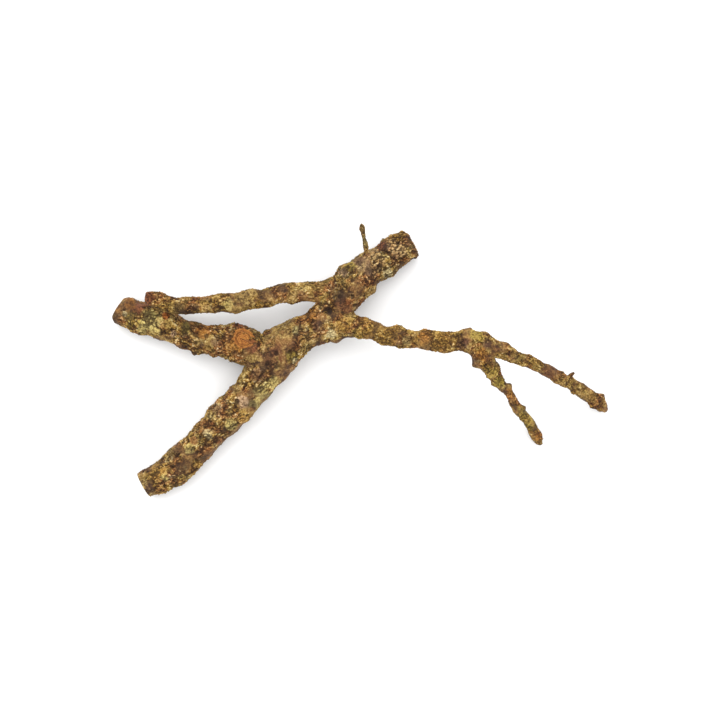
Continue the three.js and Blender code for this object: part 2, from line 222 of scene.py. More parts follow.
def soft_noise(points, seed):
    """Smooth noise from -1 to 1: each lattice corner has a random value, and a point takes the
    eight values round it, weighted by an S-shaped curve of its place in the cube."""
    cell = np.floor(points).astype(np.int64)
    part = points - cell
    weight = part**3 * (part * (part * 6 - 15) + 10)
    total = np.zeros(len(points))
    for corner in np.ndindex(2, 2, 2):
        share = np.prod(np.where(corner, weight, 1 - weight), axis=1)
        total += share * lattice_random(cell + np.array(corner), seed)
    return 2 * total - 1


def layered_noise(points, seed, layers):
    """Noise of several sizes added up, each half as large and half as strong as the one before."""
    total = np.zeros(len(points))
    strength = 1.0
    for layer in range(layers):
        total += strength * soft_noise(points * 2**layer, seed + layer)
        strength /= 2
    return total


def scattered_cells(points, seed):
    """One spot lies somewhere in each cube of a lattice. Gives each point's distance to the
    nearest spot and to the second nearest, and the nearest spot's own random number."""
    base = np.floor(points).astype(np.int64)
    nearest = np.full(len(points), 9.0)
    second = nearest.copy()
    tone = np.zeros(len(points))
    for step in np.ndindex(3, 3, 3):
        cell = base + (np.array(step) - 1)
        own = [lattice_random(cell, seed + axis) for axis in range(3)]
        away = np.linalg.norm(points - cell - np.stack(own, axis=1), axis=1)
        closer = away < nearest
        second = np.where(closer, nearest, np.minimum(second, away))
        tone = np.where(closer, own[0], tone)
        nearest = np.where(closer, away, nearest)
    return nearest, second, tone


def smooth_step(low, high, value):
    """0 below low, 1 above high, and an S-shaped curve between them."""
    t = np.clip((value - low) / (high - low), 0, 1)
    return t * t * (3 - 2 * t)


def lumpiness(points):
    """Sine waves of growing length in directions spread evenly over a sphere, added up."""
    total = np.zeros(len(points))
    for k in range(BARK_WAVES):
        height = 1 - 2 * (k + 0.5) / BARK_WAVES
        width = np.sqrt(1 - height * height)
        turn = GOLDEN_ANGLE * k
        way = points @ np.array([width * np.cos(turn), width * np.sin(turn), height])
        total += np.sin(2 * np.pi * way / (SHORTEST_WAVE * WAVE_GROWTH**k) + k * k)
    return total / np.sqrt(BARK_WAVES)


def lump_height(points, lumps):
    """Each lump pushes out by its height times a bell curve of the distance over its reach."""
    total = np.zeros(len(points))
    for x, y, z, height, reach in lumps:
        away = np.linalg.norm(points - [x, y, z], axis=1) / reach
        total += height * np.exp(-away * away)
    return total


def curve_through(rows, place):
    """A smooth curve through every row, at places counted in rows. It leaves each row along half
    the step from the row before to the row after, and each stretch is a cubic in between."""
    before = np.vstack([2 * rows[:1] - rows[1:2], rows[:-1]])
    after = np.vstack([rows[1:], 2 * rows[-1:] - rows[-2:-1]])
    slope = (after - before) / 2
    k = np.minimum(place.astype(int), len(rows) - 2)
    t = (place - k)[:, None]
    start = (2 * t**3 - 3 * t**2 + 1) * rows[k] + (t**3 - 2 * t**2 + t) * slope[k]
    end = (3 * t**2 - 2 * t**3) * rows[k + 1] + (t**3 - t**2) * slope[k + 1]
    return start + end


def unit(vectors):
    """Each row of three numbers as a direction of length one."""
    return vectors / np.linalg.norm(vectors, axis=1)[:, None]


class Limb:
    """One limb as rings of points round its centreline, one ring every step of its length. Each
    end has a form and the cuts that bound it, and the start of a branch is usually a joint. A
    limb that runs through two pieces is split at the ring nearest to its joint."""

    def __init__(self, rows, lumps, step, grain, seed, ends=("joint", "rounded"), cuts=((), ()),
                 joint=None, chipped=False):
        self.lumps = MM * np.array(lumps)
        self.step = step
        self.grain = grain
        self.seed = seed
        self.ends = ends
        self.cuts = [[(MM * np.array(at), np.array(out)) for at, out in planes] for planes in cuts]
        self.joins = []
        self.chipped = chipped
        rows = MM * np.array(rows)
        dense = np.linspace(0, len(rows) - 1, ROUTE_SAMPLES * len(rows))
        route = curve_through(rows, dense)
        length = np.concatenate([[0], np.cumsum(np.linalg.norm(np.diff(route[:, :3], axis=0), axis=1))])
        rings = int(length[-1] / step) + 1
        self.distance = np.linspace(0, length[-1], rings)
        places = curve_through(rows, np.interp(self.distance, length, dense))
        self.centre = places[:, :3]
        self.radius = places[:, 3] / 2
        self.along = unit(np.gradient(self.centre, axis=0))
        self.across = unit(np.cross(self.along, [0, 0, 1]))
        self.up = np.cross(self.across, self.along)
        self.sides = int(2 * np.pi * np.mean(self.radius) / step)
        self.drop_rings_past_cuts()
        self.split = None if joint is None else self.ring_near(MM * np.array(joint))

    def drop_rings_past_cuts(self):
        """Keeps the rings whose middle lies before every cut."""
        kept = np.ones(len(self.centre), dtype=bool)
        for at, out in self.cuts[0] + self.cuts[1]:
            kept &= (self.centre - at) @ out < 0
        for name in ("distance", "centre", "radius", "along", "across", "up"):
            setattr(self, name, getattr(self, name)[kept])

    def ring_near(self, point):
        """The ring whose middle is nearest to a point."""
        return int(np.argmin(np.linalg.norm(self.centre - point, axis=1)))

    def ways_out(self):
        """The direction off the limb at its start and at its end."""
        return -self.along[0], self.along[-1]

    def grow(self):
        """Works out the skin. Each ring point stands off the centreline by the limb's radius, the
        push of the limbs that join it, and the bark's height. Then the end faces are added, and
        the rings near an end lean over to its cuts."""
        rings = len(self.centre)
        ring = np.repeat(np.arange(rings), self.sides)
        angle = np.tile(2 * np.pi * np.arange(self.sides) / self.sides, rings)
        outward = self.across[ring] * np.cos(angle)[:, None] + self.up[ring] * np.sin(angle)[:, None]
        radius = (self.radius - self.wear())[ring]
        skin = self.centre[ring] + radius[:, None] * outward
        skin += joining_push(self, skin)[:, None] * outward
        height, masks = bark_form(self, skin, angle, self.distance[ring], radius)
        skin += height[:, None] * outward
        # Painted shade on the bark that faces down
        masks["underside"] = smooth_step(*UNDERSIDE_SHADE, outward[:, 2])
        masks["heart_distance"] = np.zeros(len(skin))
        skin = skin.reshape(rings, self.sides, 3)
        masks = {name: mask.reshape(rings, self.sides) for name, mask in masks.items()}
        first_face, first_masks = self.end_face(0, skin, masks)
        last_face, last_masks = self.end_face(-1, skin, masks)
        self.skin = np.concatenate([first_face[::-1], skin, last_face])
        self.masks = {
            name: np.concatenate([first_masks[name][::-1], masks[name], last_masks[name]]) for name in masks
        }
        self.face_rows = (len(first_face), len(last_face))
        place = np.pad(self.distance, self.face_rows, mode="edge")
        self.lean_to_cuts(0, place - place[0])
        self.lean_to_cuts(1, place[-1] - place)
        self.skin[:, :, 2] = np.maximum(self.skin[:, :, 2], LOWEST)

    def wear(self):
        """How much thinner each ring is for its nearness to a worn end: a bell curve's tail."""
        total = np.zeros(len(self.distance))
        for end, form in enumerate(self.ends):
            if form != "joint":
                away = np.abs(self.distance - self.distance[-end]) / WORN_LENGTH
                share = 1.0 if form == "broken" else 0.4
                total += END_WEAR * share * np.exp(-away * away)
        return total

    def lean_to_cuts(self, end, distance):
        """Near an end, slides points off or onto the limb until its last ring lies in the nearer
        of the end's cuts. The slide fades with the distance from the end."""
        if not self.cuts[end]:
            return
        way = self.ways_out()[end]
        heart = self.centre[-end]
        flat = self.skin - ((self.skin - heart) @ way)[:, :, None] * way
        slides = [((at - flat) @ out) / (way @ out) for at, out in self.cuts[end]]
        slide = -CORNER_ROUNDING * np.log(sum(np.exp(-one / CORNER_ROUNDING) for one in slides))
        share = np.clip(1 - distance / CUT_BLEND, 0, 1)[:, None]
        self.skin = self.skin + (share * slide)[:, :, None] * way

    def end_face(self, last, skin, masks):
        """Rings that shrink from the rim to the heart, moved along the limb by the face's form.
        A joint has none."""
        form = self.ends[last]
        rim = skin[last]
        count = 0 if form == "joint" else max(4, int(self.radius[last] / FACE_STEP))
        share = (1 - np.arange(1, count + 1) / (count + 1))[:, None]
        heart = self.centre[last]
        face = heart + share[:, :, None] * (rim - heart)
        angle = 2 * np.pi * np.arange(self.sides) / self.sides
        way = self.ways_out()[last]
        face_masks = {name: np.repeat(mask[last][None], count, axis=0) for name, mask in masks.items()}
        if count:
            height, dark = FACE_FORMS[form](self, face, share, angle)
            face = face + height[:, :, None] * way
            # Painted shade: the bark's crevice shade near the rim, and the dark of the face form's cracks,
            # hollow, groove or slit
            face_masks["crevice"] = np.maximum(face_masks["crevice"] * smooth_step(0.8, 1.0, share), dark)
        # Painted shade on an end face that faces down, at 0.4 of full strength
        face_masks["underside"] = np.full((count, self.sides), smooth_step(*UNDERSIDE_SHADE, way[2]) * 0.4)
        face_masks["heart_distance"] = share * np.linalg.norm(rim - heart, axis=1)
        return face, face_masks


def face_noise(limb, face, size, layers):
    """Layered noise at the points of an end face."""
    return layered_noise(face.reshape(-1, 3) / size, limb.seed, layers).reshape(face.shape[:2])


def cracks(share, angle, rough):
    """1 along a few drying cracks. They run out from the heart at uneven angles, wander with the
    noise, narrow towards the bark and stop short of it."""
    total = 0
    for way, length in CRACKS:
        off = np.abs((angle - way + 0.25 * rough + np.pi) % (2 * np.pi) - np.pi) * share
        width = 0.02 + 0.045 * np.clip(1 - share / length, 0, 1)
        total = total + smooth_step(width, 0.3 * width, off) * smooth_step(length, 0.9 * length, share)
    return np.clip(total, 0, 1) * smooth_step(0.03, 0.12, share)


def rounded_form(limb, face, share, angle):
    """A low dome, the root of one minus the share squared, roughened by noise."""
    rough = face_noise(limb, face, 4 * MM, 2)
    return ROUNDED_END * limb.radius[-1] * np.sqrt(1 - share * share) + 0.5 * MM * rough, 0 * rough


def sawn_form(limb, face, share, angle):
    """A sawn end: nearly flat, with low growth rings, drying cracks and fibres torn by the saw."""
    rough = face_noise(limb, face, 3 * MM, 3)
    rings = 0.12 * np.sin(2 * np.pi * share * limb.radius[-1] / RING_SPACING + 2 * rough)
    split = cracks(share, angle, rough)
    # The second value is painted shade in the drying cracks
    return MM * (rings + 0.3 * rough - 1.3 * split - 0.5 * smooth_step(0.9, 0.7, share)), split


def broken_form(limb, face, share, angle):
    """A weathered, broken end: splinters from fine layered noise on a slope of larger noise, and a
    shallow hollow where both are low."""
    slope = face_noise(limb, face, 16 * MM, 2)
    rough = face_noise(limb, face, 3.5 * MM, 4)
    hollow = smooth_step(-0.2, -1.2, rough + 0.6 * slope)
    # The second value is painted shade in the hollow
    return MM * (1.5 * slope + 1.3 * rough * (1 - 0.4 * share) - 0.6), 0.7 * hollow


def knot_form(limb, face, share, angle):
    """A sawn side branch: a flat disc of wood, a groove round it, and a rolled lip of healed bark.
    Its pith is a short slanting slit."""
    rough = face_noise(limb, face, 3 * MM, 3)
    groove = np.exp(-(((share - KNOT_GROOVE) / 0.05) ** 2))
    lip = np.sin(np.pi * np.clip((share - KNOT_GROOVE) / (1 - KNOT_GROOVE), 0, 1))
    offset = face - face.mean(axis=(0, 1))
    lengthwise = offset @ PITH_SLIT
    sideways = np.linalg.norm(offset - lengthwise[:, :, None] * PITH_SLIT, axis=2)
    slit = smooth_step(1.3, 0.4, np.hypot(lengthwise / 2.6, sideways / 0.8) / MM)
    height = 1.1 * lip - 1.0 * groove - 0.6 * slit + 0.35 * rough - 0.3 * (share < KNOT_GROOVE)
    # The second value is painted shade in the groove and the pith slit
    return MM * height, np.maximum(0.85 * groove * (0.75 + 0.4 * rough), slit)


FACE_FORMS = {"rounded": rounded_form, "sawn": sawn_form, "broken": broken_form, "knot": knot_form}


def distance_to(limb, points):
    """Distance from each point to a limb's smooth skin: to the nearest of the balls strung on its
    centreline, less that ball's radius. Points far away are left at a large value."""
    stride = max(1, int(BALL_SPACING / limb.step))
    centre = limb.centre[::stride]
    radius = limb.radius[::stride]
    margin = radius.max() + FAR_AWAY
    near = np.all((points > centre.min(axis=0) - margin) & (points < centre.max(axis=0) + margin), axis=1)
    distance = np.full(len(points), FAR_AWAY)
    closest = distance[near]
    for middle, size in zip(centre, radius):
        closest = np.minimum(closest, np.linalg.norm(points[near] - middle, axis=1) - size)
    distance[near] = closest
    return distance


def joining_push(limb, points):
    """Near a limb that it joins, the skin is pushed out by (reach - d) squared over four reaches,
    where d is the distance to the other skin. So the two run together in a hollow curve."""
    push = np.zeros(len(points))
    for other, reach in limb.joins:
        room = np.clip(reach - distance_to(other, points), 0, reach)
        push = np.maximum(push, room * room / (4 * reach))
    return push


def join(parent, child):
    """Two limbs run together over a stretch that follows the thinner one's thickness."""
    reach = JOIN_REACH * child.radius[0]
    parent.joins.append((child, reach))
    child.joins.append((parent, reach))


def bark_form(limb, skin, angle, distance, radius):
    """The bark's height over the smooth limb, and masks for its colours. Knobs are layered noise.
    Plates are cells stretched along the limb, with cracks where two cells meet. Crumbs are small
    domes over scattered spots, lichen lobes are cells with raised rims, and pits are holes over a
    few far-apart spots. Near a chipped end, coarser cells stand at heights of their own."""
    size = limb.grain * MM
    seed = limb.seed
    fine = np.sqrt(np.clip(2 * radius / FULL_THICKNESS, 0, 1))
    knob = layered_noise(skin / (KNOB_SIZE * size), seed, 3)
    rough = smooth_step(-0.45, 0.1, layered_noise(skin / (COVER_SIZE * size), seed + 10, 3))
    lichen = smooth_step(0.0, 0.35, layered_noise(skin / (LICHEN_SIZE * size), seed + 20, 4))
    local = np.stack([distance / PLATE_STRETCH, radius * np.cos(angle), radius * np.sin(angle)], axis=1)
    warp = np.stack([soft_noise(skin / (WARP_SIZE * size), seed + 30 + axis) for axis in range(3)], axis=1)
    near, next_near, _ = scattered_cells(local / (PLATE_SIZE * size) + 0.25 * warp, seed + 40)
    crack = 1 - smooth_step(0.03, 0.25, next_near - near)
    near, _, crumb_tone = scattered_cells(skin / (CRUMB_SIZE * size) + 0.6 * warp, seed + 50)
    crumb = np.clip(1 - (near / 0.66) ** 2, 0, 1) * (0.35 + 0.9 * crumb_tone)
    near, next_near, lobe_tone = scattered_cells(skin / (LOBE_SIZE * size) + 0.5 * warp, seed + 60)
    curl = smooth_step(0.12, 0.45, near)
    lobe = smooth_step(0.0, 0.22, next_near - near) * (0.25 + 0.6 * curl)
    near, _, pit_tone = scattered_cells(skin / (PIT_SPACING * size), seed + 70)
    pit = smooth_step(0.3, 0.12, near) * (pit_tone < 0.35)
    grit = soft_noise(skin / (GRIT_SIZE * size), seed + 80)
    texture = KNOB_HEIGHT * knob - CRACK_DEPTH * crack * rough + CRUMB_HEIGHT * crumb * rough
    texture += LOBE_HEIGHT * lobe * lichen
    texture += GRIT_HEIGHT * grit - PIT_DEPTH * pit - MIDDLE_HEIGHT
    if limb.chipped:
        near, next_near, chip_tone = scattered_cells(local / (CHIP_SIZE * size) + 0.4 * warp, seed + 90)
        chip = smooth_step(0.04, 0.3, next_near - near) * (0.3 + 1.3 * chip_tone)
        near_end = smooth_step(CHIPPED_LENGTH, 0.5 * CHIPPED_LENGTH, limb.distance[-1] - distance)
        texture += near_end * (CHIP_HEIGHT * chip - 1.0)
    height = BARK_RELIEF * fine * lumpiness(skin) + lump_height(skin, limb.lumps)
    height += fine * MM * (texture + 0.5 * knob)
    tone = np.where(lichen > 0.5, 0.6 * lobe_tone + 0.45 * curl, crumb_tone)
    masks = {
        # crevice: painted shade, darkest where the bark's forms are lowest, weaker on thin limbs
        "crevice": (0.4 + 0.6 * fine) * smooth_step(0.1, -1.15, texture),
        "lichen": lichen * smooth_step(0.02, 0.12, lobe),
        "tone": tone - YOUNG_DARKNESS * (1 - fine),
        "smooth_bark": 1 - rough,
    }
    return height, masks


def closed_rings(rows, sides):
    """The triangles of a stack of rings: walls between the rings, and a fan round a middle point
    at each end. The two middle points come after the rings' points."""
    corner = np.arange(rows * sides).reshape(rows, sides)
    after = np.roll(corner, -1, axis=1)
    a, b, c, d = corner[:-1], after[:-1], corner[1:], after[1:]
    walls = np.concatenate([np.stack([a, c, b], axis=2), np.stack([b, c, d], axis=2)], axis=1)
    middle = np.full(sides, rows * sides)
    start_fan = np.stack([middle, corner[0], after[0]], axis=1)
    end_fan = np.stack([middle + 1, after[-1], corner[-1]], axis=1)
    return np.concatenate([walls.reshape(-1, 3), start_fan, end_fan])


def tube(limb, first=None, last=None, wood=SAWN_WOOD):
    """The limb from ring first to ring last as a closed tube of triangles. Left out, they mean the
    limb's own end with its face, which has the piece's material number wood. A joint is closed by
    a flat fan."""
    start_rows, end_rows = limb.face_rows
    begin = 0 if first is None else start_rows + first
    stop = len(limb.skin) if last is None else start_rows + last + 1
    skin = limb.skin[begin:stop]
    rows, sides = skin.shape[:2]
    row = np.arange(begin, stop - 1)
    wood_ends = [limb.ends[end] not in ("joint", "rounded") for end in (0, 1)]
    rim_rows = int(end_rows * (1 - KNOT_RIM)) if limb.ends[1] == "knot" else 0
    last_wood = row >= len(limb.skin) - 1 - end_rows + rim_rows
    wood_rows = (wood_ends[0] & (row < start_rows)) | (wood_ends[1] & last_wood)
    own = [first is None and start_rows > 0, last is None and end_rows > 0]
    masks = {}
    for name, mask in limb.masks.items():
        flat = mask[begin:stop].ravel()
        masks[name] = np.concatenate([flat, [flat[0], flat[-1]]])
    masks["heart_distance"][-2:] = 0
    fans = [np.full(sides, own[k] and wood_ends[k]) for k in (0, 1)]
    smooth_fans = [np.full(sides, own[k]) for k in (0, 1)]
    return {
        "points": np.concatenate([skin.reshape(-1, 3), [skin[0].mean(axis=0), skin[-1].mean(axis=0)]]),
        "triangles": closed_rings(rows, sides),
        "wood": wood * np.concatenate([np.repeat(wood_rows, 2 * sides)] + fans),
        "smooth": np.concatenate([np.ones(2 * sides * (rows - 1), dtype=bool)] + smooth_fans),
        "masks": masks,
    }


def limb_root(limb, parent, wood=SAWN_WOOD):
    """The limb up to its joint, if it has one, from the first ring that isn't wholly buried in the
    limb it grows from."""
    depth = distance_to(parent, limb.centre) + limb.radius
    return tube(limb, int(np.argmax(depth > -BURIED_DEPTH)), limb.split, wood)


def past_joint(limb):
    """The limb from its joint to its end, with its lichen."""
    return [tube(limb, limb.split), lichen_flakes(limb, limb.split)]


def lichen_flakes(limb, first=0, last=None):
    """Small ruffled discs of lichen on the limb from ring first to ring last. Places are drawn by
    the lichen mask. A disc's rim stands off its middle by one wave round it, and its edge is lobed
    by two more. Each disc is closed by a point sunk in the bark."""
    start = limb.face_rows[0]
    begin, stop = start + first, start + (len(limb.centre) if last is None else last)
    skin = limb.skin[begin:stop]
    draw = np.random.default_rng(limb.seed + first)
    area = 2 * np.pi * limb.radius[first:last].mean() * limb.step * len(skin)
    count = int(area / FLAKE_AREA)
    chance = (limb.masks["lichen"][begin:stop] + BARE_CHANCE).ravel()
    rows, sides = skin.shape[:2]
    spot = draw.choice(rows * sides, count, p=chance / chance.sum())
    row = np.clip(spot // sides, 1, rows - 2)
    side = spot % sides
    along = skin[row + 1, side] - skin[row - 1, side]
    around = skin[row, (side + 1) % sides] - skin[row, side - 1]
    middle = skin[row, side]
    radial = middle - limb.centre[first:][row]
    out = 0.5 * unit(np.cross(around, along)) + 0.5 * unit(radial)
    along = unit(along)
    aside = np.cross(out, along)
    turn = 2 * np.pi * np.arange(FLAKE_CORNERS) / FLAKE_CORNERS
    size = limb.grain * MM * draw.uniform(*FLAKE_RADIUS, count)[:, None, None]
    phase = draw.uniform(0, 2 * np.pi, (count, 3, 1))
    lobes = 1 + 0.22 * np.cos(3 * turn + phase[:, 0]) + 0.16 * np.cos(4 * turn + phase[:, 1])
    ruffle = 0.3 * np.cos(2 * turn + phase[:, 2])
    share = np.array([0.55, 1.0])[:, None]
    reach = size * share * lobes[:, None]
    rise = size * (0.12 + share**2 * (0.25 + ruffle[:, None]))
    flat = np.cos(turn)[:, None] * along[:, None, None] + np.sin(turn)[:, None] * aside[:, None, None]
    rings = middle[:, None, None] + reach[..., None] * flat + rise[..., None] * out[:, None, None]
    top = middle + 0.12 * size[:, 0] * out
    root = middle - 0.7 * size[:, 0] * out
    points = np.concatenate([rings.reshape(count, -1, 3), top[:, None], root[:, None]], axis=1)
    points[:, :, 2] = np.maximum(points[:, :, 2], LOWEST)
    one = closed_rings(2, FLAKE_CORNERS)
    each = points.shape[1]
    triangles = one + each * np.arange(count)[:, None, None]
    bare = np.zeros(count * each)
    # Crevice values of each flake's points: painted shade, a little on the inner ring and the middle, and
    # most at the point sunk under it
    pattern = [np.full(FLAKE_CORNERS, 0.15), np.zeros(FLAKE_CORNERS), [0.25, 0.8]]
    return {
        "points": points.reshape(-1, 3),
        "triangles": triangles.reshape(-1, 3),
        "wood": np.zeros(count * len(one), dtype=bool),
        "smooth": np.ones(count * len(one), dtype=bool),
        "masks": {
            "crevice": np.tile(np.concatenate(pattern), count),
            "lichen": bare + 0.9,
            "tone": np.repeat(draw.uniform(0, 1, count), each),
            "smooth_bark": bare,
            # painted shade on flakes that face down
            "underside": np.repeat(smooth_step(*UNDERSIDE_SHADE, out[:, 2]), each),
            "heart_distance": bare,
        },
    }


def put_together(shells):
    """Several closed shells as one: their points in a row, and their triangles renumbered."""
    starts = np.cumsum([0] + [len(shell["points"]) for shell in shells[:-1]])
    joined = {"triangles": np.concatenate([sh["triangles"] + at for sh, at in zip(shells, starts)])}
    for name in ("points", "wood", "smooth"):
        joined[name] = np.concatenate([shell[name] for shell in shells])
    joined["masks"] = {
        name: np.concatenate([shell["masks"][name] for shell in shells]) for name in shells[0]["masks"]
    }
    return joined


def new_object(name, data):
    """A Blender object in the scene."""
    made = bpy.data.objects.new(name, data)
    bpy.context.scene.collection.objects.link(made)
    return made


def mesh_object(name, shell, materials):
    """A Blender object from a shell, with its masks as attributes of its points."""
    mesh = bpy.data.meshes.new(name)
    points, triangles = shell["points"], shell["triangles"]
    mesh.vertices.add(len(points))
    mesh.vertices.foreach_set("co", points.astype(np.float32).ravel())
    mesh.loops.add(triangles.size)
    mesh.loops.foreach_set("vertex_index", triangles.astype(np.int32).ravel())
    mesh.polygons.add(len(triangles))
    mesh.polygons.foreach_set("loop_start", np.arange(0, triangles.size, 3, dtype=np.int32))
    mesh.polygons.foreach_set("use_smooth", shell["smooth"].astype(bool))
    mesh.polygons.foreach_set("material_index", shell["wood"].astype(np.int32))
    mesh.update(calc_edges=True)
    for mask_name, mask in shell["masks"].items():
        attribute = mesh.attributes.new(mask_name, "FLOAT", "POINT")
        attribute.data.foreach_set("value", mask.astype(np.float32))
    stain_and_shade = mesh.attributes.new("stain_and_shade", "FLOAT_COLOR", "POINT")
    stain_and_shade.data.foreach_set("color", stains_and_painted_shade(points, shell["masks"]["underside"]).astype(np.float32).ravel())
    for material in materials:
        mesh.materials.append(material)
    return new_object(name, mesh)


def linear(code):
    """The linear light values of a colour written as six hexadecimal digits."""
    levels = np.array([int(code[k:k + 2], 16) for k in (0, 2, 4)]) / 255
    return np.where(levels <= 0.04045, levels / 12.92, ((levels + 0.055) / 1.055) ** 2.4)


# Tints of the marks that stand out on the bark
TINTS = {
    "cream": "e6d6a2", "pink": "e0bc96", "straw": "d8c67c", "moss": "b39f48", "sage": "a69a68",
    "olive": "7d7035", "tan": "bf9647", "ochre": "b3762f", "orange": "b9682e", "rust": "875033",
    "plum": "664638", "cocoa": "44301f", "dark": "20150d",
}
# Lichens, stains, hollows and painted shade that stand out from a step away, seen from above: x, y and
# reach in millimetres, tint, and how strongly it shows. Weak wide ones come before small ones on top of
# them.
MARKS = [
    # left limb, from its sawn end to the fork
    (-276, 66, 9, "rust", 0.9), (-287, 71, 7, "ochre", 0.9), (-259, 49, 13, "straw", 0.9),
    (-273, 37, 6, "straw", 0.8), (-285, 50, 9, "moss", 0.5), (-294, 58, 3, "cream", 0.9),
    (-242, 55, 4.5, "orange", 0.9), (-232, 34, 4, "pink", 0.8), (-217, 40, 8, "olive", 0.9),
    (-194, 36, 9, "ochre", 0.8), (-191, 30, 3, "dark", 0.7), (-178, 22, 6, "plum", 0.7),
    (-150, 40, 9, "rust", 0.9), (-151, 21, 15, "ochre", 0.7), (-135, 16, 9, "rust", 0.7),
    # lower limb, from the fork down to its sawn end
    (-97, 14, 17, "rust", 0.4), (-111, 4, 12, "rust", 0.5), (-125, -20, 9, "plum", 0.7),
    (-84, 5, 8, "moss", 0.8), (-81, -1, 4, "cream", 0.9), (-109, -30, 9, "straw", 0.7),
    (-121, -41, 10, "straw", 0.7), (-130, -55, 7, "straw", 0.8), (-146, -52, 7, "pink", 0.8),
    (-144, -70, 8, "tan", 0.7), (-178, -63, 6, "plum", 0.7), (-191, -82, 8, "rust", 0.6),
    (-161, -80, 7, "straw", 0.8), (-158, -81, 2.5, "dark", 0.7), (-188, -92, 6, "cream", 0.7),
    (-176, -99, 5, "rust", 0.8), (-207, -100, 5, "rust", 0.7), (-214, -111, 6, "straw", 0.7),
    (-232, -117, 7, "cocoa", 0.8), (-252, -138, 10, "tan", 0.7), (-244, -146, 5, "straw", 0.8),
    (-263, -161, 6, "plum", 0.7),
    # stem, from the fork up to its broken end
    (-63, 55, 9, "ochre", 0.7), (-80, 36, 5, "sage", 0.9), (-54, 42, 7, "plum", 0.8),
    (-18, 45, 9, "tan", 0.5), (-36, 32, 6, "cream", 0.8), (-2, 33, 7, "moss", 0.6),
    # The cocoa mark at -28, 82 is a painted shadow along the upper branch's root on the stem, and the dark
    # mark at -40, 61 is painted shade in the hole pushed into the bark there
    (-28, 82, 12, "cocoa", 0.7), (-20, 66, 10, "rust", 0.5), (-40, 61, 4.5, "dark", 1.0),
    (14, 122, 15, "pink", 0.3), (46, 139, 13, "pink", 0.3), (-21, 108, 5, "pink", 0.9),
    (-12, 117, 6, "moss", 0.7), (4, 156, 15, "sage", 0.6), (-2, 125, 7, "plum", 0.8),
    # The dark marks at 24, 115, at 31, 135 and at 48, 146 are painted shade in pits of the broken end
    (24, 115, 4, "dark", 0.8), (28, 142, 5, "rust", 0.9), (31, 135, 4, "dark", 0.85),
    (48, 146, 3.5, "dark", 0.9), (35, 108, 6, "cream", 0.8),
    # upper branch
    # The cocoa marks at -222, -206 and -174 are painted shade along the branch's edge towards -Y, over the
    # left limb
    (-262, 77, 8, "rust", 0.9), (-222, 62, 8, "cocoa", 0.8), (-206, 63, 7, "cocoa", 0.7),
    (-174, 65, 7, "cocoa", 0.6), (-163, 69, 7, "straw", 0.5), (-97, 90, 6, "cocoa", 0.7),
    # right branch, its fork and its twigs
    (25, 34, 24, "tan", 0.45), (90, 23, 28, "tan", 0.45), (207, -72, 16, "moss", 0.55),
    (58, 25, 6, "sage", 0.6), (79, 27, 7, "ochre", 0.5), (126, 20, 8, "plum", 0.7),
    (143, 30, 9, "moss", 0.7), (155, 20, 6, "plum", 0.7), (148, 6, 8, "ochre", 0.6),
    (160, -16, 9, "moss", 0.5), (171, -26, 8, "moss", 0.9), (186, -42, 7, "ochre", 0.6),
    (224, -96, 5, "ochre", 0.7), (196, 5, 7, "olive", 0.5), (240, -13, 14, "rust", 0.45),
]


def stains_and_painted_shade(points, underside):
    """Each point's mark colour, with how strongly it shows as the fourth number. Most marks are
    stains and lichens, and a few are painted shade. A mark's edge is where a bell curve of the
    distance seen from above, frayed by noise, falls past a level."""
    colour = np.zeros((len(points), 3))
    shown = np.zeros(len(points))
    fray = 0.4 * layered_noise(points / FRAY_SIZE, FRAY_SEED, 4)
    for x, y, reach, tint, strength in MARKS:
        away = np.hypot(points[:, 0] - x * MM, points[:, 1] - y * MM) / (reach * MM)
        edge = smooth_step(0.15, 0.55, np.exp(-away * away) * (1 + fray) + 0.3 * fray) * (away < 2)
        # marks fade out where the underside's painted shade is
        amount = strength * edge * (1 - underside)
        shown = amount + shown * (1 - amount)
        share = (amount / np.maximum(shown, 0.001))[:, None]
        colour = colour * (1 - share) + linear(TINTS[tint]) * share
    return np.concatenate([colour, shown[:, None]], axis=1)


# The colour sockets of a Mix node: its factor and its two colours, and its result
MIX_INPUTS = (0, 6, 7)
MIX_RESULT = 2


def connect(tree, socket, value):
    """Links a socket to an input, or sets the input's own value."""
    if isinstance(value, bpy.types.NodeSocket):
        tree.links.new(value, socket)
    else:
        socket.default_value = value


def feed(tree, node, **inputs):
    """Connects a node's inputs, each named with _ for a space."""
    for name, value in inputs.items():
        connect(tree, node.inputs[name.replace("_", " ")], value)


def add_node(tree, kind, settings=None, **inputs):
    """Adds a node with its settings and feeds it."""
    made = tree.nodes.new(kind)
    for name, value in (settings or {}).items():
        setattr(made, name, value)
    feed(tree, made, **inputs)
    return made


def noise_value(tree, place, size, detail=2.0, roughness=0.5):
    """A noise texture's grey value. Its size is the length of one blotch in metres."""
    kind = "ShaderNodeTexNoise"
    made = add_node(tree, kind, Vector=place, Scale=1 / size, Detail=detail, Roughness=roughness)
    return made.outputs["Fac"]


def colour_steps(tree, factor, steps):
    """A colour ramp: pairs of a place from 0 to 1 and a colour code."""
    ramp = add_node(tree, "ShaderNodeValToRGB", Fac=factor)
    elements = ramp.color_ramp.elements
    while len(elements) < len(steps):
        elements.new(1.0)
    for element, (place, code) in zip(elements, steps):
        element.position = place
        element.color = (*linear(code), 1)
    return ramp.outputs["Color"]


def mixed(tree, factor, first, second, blend="MIX"):
    """Two colours mixed by a factor."""
    made = add_node(tree, "ShaderNodeMix", {"data_type": "RGBA", "blend_type": blend})
    for number, value in zip(MIX_INPUTS, (factor, first, second)):
        connect(tree, made.inputs[number], value)
    return made.outputs[MIX_RESULT]


def arithmetic(tree, operation, *values):
    """One Math node."""
    made = add_node(tree, "ShaderNodeMath", {"operation": operation})
    for socket, value in zip(made.inputs, values):
        connect(tree, socket, value)
    return made.outputs[0]


